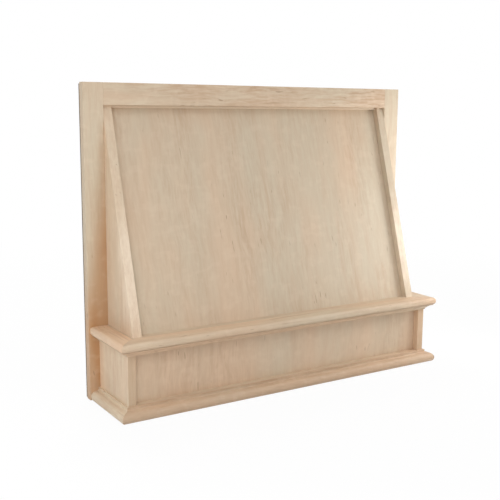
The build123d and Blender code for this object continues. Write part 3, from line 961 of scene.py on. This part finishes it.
class HOODCOVER_OT_carcass(bpy.types.Operator):
    """Shelf, cleats and ledges inside"""

    bl_idname = "hood_cover.carcass"
    bl_label = "Carcass"

    def execute(self, context):
        for node in ("shelf_front", "shelf_left", "shelf_right"):
            dress(node, maple(node, ACROSS, UPWARD, veneer=True, plies=True))
        upright = (
            "left_corner_cleat", "right_corner_cleat", "left_panel_cleat", "right_panel_cleat",
        )
        across = ("panel_foot_cleat", "shelf_cleat_front", "front_liner_ledge")
        back = ("shelf_cleat_left", "shelf_cleat_right", "left_liner_ledge", "right_liner_ledge")
        for nodes, along, face in (
            (upright, UPWARD, BACKWARD), (across, ACROSS, UPWARD), (back, BACKWARD, UPWARD),
        ):
            for node in nodes:
                dress(node, plain_wood(node, "poplar", along, face, seed_of(node)))
        return {"FINISHED"}


class HOODCOVER_OT_fixings(bpy.types.Operator):
    """Zinc-plated screws and beech dowels"""

    bl_idname = "hood_cover.fixings"
    bl_label = "Fixings"

    def execute(self, context):
        steel = zinc_steel("zinc_steel")
        groups = [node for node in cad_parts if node.endswith("_screws")]
        if len(groups) != SCREW_GROUPS:
            raise RuntimeError(f"expected {SCREW_GROUPS} groups of screws, found {len(groups)}")
        for node in groups:
            dress(node, steel)
        dress("frame_dowels", plain_wood("frame_dowels", "beech", ACROSS, UPWARD, DOWEL_SEED))
        return {"FINISHED"}


# ------------------------------------------------------------------ studio
def softbox(name, place, size, power):
    """A square area lamp at a place, facing the cover's middle."""
    lamp = bpy.data.lights.new(name, "AREA")
    lamp.shape = "SQUARE"
    lamp.size = size
    lamp.energy = power
    holder = bpy.data.objects.new(name, lamp)
    way = Vector(LAMP_AIM) - Vector(place)
    turn = way.to_track_quat("-Z", "Y").to_matrix().to_4x4()
    holder.matrix_world = Matrix.Translation(place) @ turn
    bpy.context.scene.collection.objects.link(holder)


def unseen_by_lamps(finish):
    """1 for a ray from the camera, a glossy surface or glass; 0 for light on the object."""
    rays = [
        finish.node("ShaderNodeLightPath", output=name)
        for name in ("Is Camera Ray", "Is Glossy Ray", "Is Transmission Ray")
    ]
    return rays[0].highest(rays[1]).highest(rays[2])


class HOODCOVER_OT_studio(bpy.types.Operator):
    """White floor and room, soft lamps and the camera at the photo's angle"""

    bl_idname = "hood_cover.studio"
    bl_label = "Studio"

    def execute(self, context):
        self.place_camera(context.scene)
        self.lay_floor(context.scene)
        self.light_room(context.scene)
        context.scene.view_settings.view_transform = "Standard"
        return {"FINISHED"}

    def place_camera(self, scene):
        """Set the camera's axes from its heading h, pitch p and roll.

        Forward is (-sin h cos p, cos h cos p, -sin p), and level (cos h, sin h, 0).
        """
        studio = scene.hood_cover_studio
        turn, dip, roll = studio.heading, studio.pitch, studio.roll
        ahead = Vector((-math.sin(turn), math.cos(turn), 0))
        forward = ahead * math.cos(dip) - UPWARD * math.sin(dip)
        level = Vector((math.cos(turn), math.sin(turn), 0))
        upright = level.cross(forward)
        right = level * math.cos(roll) + upright * math.sin(roll)
        up = upright * math.cos(roll) - level * math.sin(roll)
        lens = bpy.data.cameras.new("camera")
        lens.lens = studio.focal_length
        lens.sensor_width = 36
        camera = bpy.data.objects.new("camera", lens)
        axes = Matrix((right, up, -forward)).transposed().to_4x4()
        camera.matrix_world = Matrix.Translation(studio.camera_place) @ axes
        scene.collection.objects.link(camera)
        scene.camera = camera

    def lay_floor(self, scene):
        """A round floor whose own light fades in away from the object, to the room's white.

        Point (i, j) of the disc is (r_i cos a_j, r_i sin a_j, -drop), with r growing outwards.
        """
        studio = scene.hood_cover_studio
        rings = np.linspace(0.3, FLOOR_REACH, FLOOR_RINGS)
        radius = np.concatenate([[0.02], rings])[:, None]
        angle = np.radians(np.arange(0, 360, 5))[None, :]
        x, y = radius * np.cos(angle), radius * np.sin(angle)
        grid = np.stack([x, y, np.full_like(x, -FLOOR_DROP)], axis=2)
        rows, around = grid.shape[:2]
        quads = loop_quads(rows, around)[:, ::-1].tolist()
        mesh = bpy.data.meshes.new("floor")
        mesh.from_pydata(grid.reshape(-1, 3).tolist(), [], quads + [list(range(around))])
        floor = bpy.data.objects.new("floor", mesh)
        scene.collection.objects.link(floor)
        finish = Finish(bpy.data.materials.new("floor"))
        position = finish.position()
        far = finish.node("ShaderNodeVectorMath", {"operation": "LENGTH"}, (position,), "Value")
        near = 1 - finish.rise(far, *SHADOW_REACH)
        tone = (studio.floor_tone,) * 3 + (1,)
        paint = finish.node("ShaderNodeBsdfDiffuse", None, {"Color": tone})
        white = finish.node("ShaderNodeEmission", None, {"Color": (1, 1, 1, 1), "Strength": 1.0})
        seen = unseen_by_lamps(finish)
        share = seen * (1 - near * studio.shadow_share)
        shader = finish.node("ShaderNodeMixShader", None, (share, paint, white))
        finish.output("ShaderNodeOutputMaterial", shader)
        mesh.materials.append(finish.owner)

    def light_room(self, scene):
        """Soft lamps, and a room that is white where seen and dim as a source of light."""
        studio = scene.hood_cover_studio
        finish = Finish(bpy.data.worlds.new("room"))
        dim, white = (
            finish.node("ShaderNodeBackground", None, {"Color": (1, 1, 1, 1), "Strength": level})
            for level in (studio.ambient, 1.0)
        )
        shader = finish.node("ShaderNodeMixShader", None, (unseen_by_lamps(finish), dim, white))
        finish.output("ShaderNodeOutputWorld", shader)
        scene.world = finish.owner
        for name, (place, size, power) in SOFTBOXES.items():
            softbox(name, place, size, power)


OPERATORS = (
    HOODCOVER_OT_face_frame,
    HOODCOVER_OT_canopy,
    HOODCOVER_OT_mantel_cap,
    HOODCOVER_OT_bed_mould,
    HOODCOVER_OT_base_mould,
    HOODCOVER_OT_box,
    HOODCOVER_OT_rear_layer,
    HOODCOVER_OT_carcass,
    HOODCOVER_OT_fixings,
    HOODCOVER_OT_studio,
)


class HOODCOVER_PT_steps(bpy.types.Panel):
    """The steps that dress the cover, in order"""

    bl_idname = "HOODCOVER_PT_steps"
    bl_label = "Hood Cover"
    bl_space_type = "VIEW_3D"
    bl_region_type = "UI"
    bl_category = "Hood Cover"

    def draw(self, context):
        for operator in OPERATORS:
            self.layout.operator(operator.bl_idname)


CLASSES = (HoodCoverWood, HoodCoverShapes, HoodCoverStudio, *OPERATORS, HOODCOVER_PT_steps)


def register():
    """Register the classes and hang the settings on the scene."""
    for cls in CLASSES:
        bpy.utils.register_class(cls)
    bpy.types.Scene.hood_cover_wood = bpy.props.PointerProperty(type=HoodCoverWood)
    bpy.types.Scene.hood_cover_shapes = bpy.props.PointerProperty(type=HoodCoverShapes)
    bpy.types.Scene.hood_cover_studio = bpy.props.PointerProperty(type=HoodCoverStudio)


def unregister():
    """Take the settings and the classes away again."""
    del bpy.types.Scene.hood_cover_studio
    del bpy.types.Scene.hood_cover_shapes
    del bpy.types.Scene.hood_cover_wood
    for cls in reversed(CLASSES):
        bpy.utils.unregister_class(cls)


def main():
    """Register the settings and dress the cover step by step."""
    register()
    for operator in OPERATORS:
        group, name = operator.bl_idname.split(".")
        getattr(getattr(bpy.ops, group), name)()


if __name__ == "__main__":
    main()
